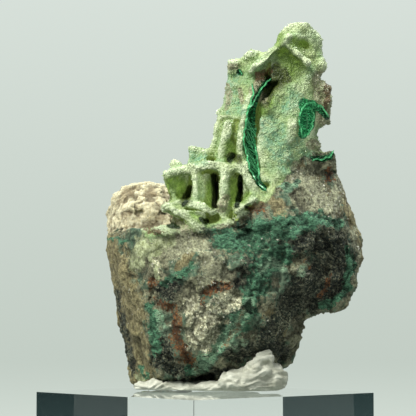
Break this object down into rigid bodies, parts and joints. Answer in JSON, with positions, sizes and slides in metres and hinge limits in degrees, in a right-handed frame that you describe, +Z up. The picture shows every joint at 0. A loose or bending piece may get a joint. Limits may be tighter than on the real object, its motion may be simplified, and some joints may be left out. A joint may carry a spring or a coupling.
{
  "type": "malachite and chrysocolla specimen",
  "caption": "Malachite and chrysocolla ore specimen with a sugary green boxwork tower, set in white mineral putty on a clear acrylic display block.",
  "frame": {"origin": "centre of the display block's underside, on the surface that it stands on", "axes": "+Z up, the longest extent; +X to the right and +Y away as the picture shows it, with a corner of the block in front"},
  "size_m": [0.0534, 0.0534, 0.0782],
  "materials": {
    "stone": "matte",
    "putty": "matte",
    "acrylic": "polished"
  },
  "bodies": {
    "root": {"specimen": "stone", "putty": "putty", "display_block": "acrylic"}
  },
  "joints": []
}
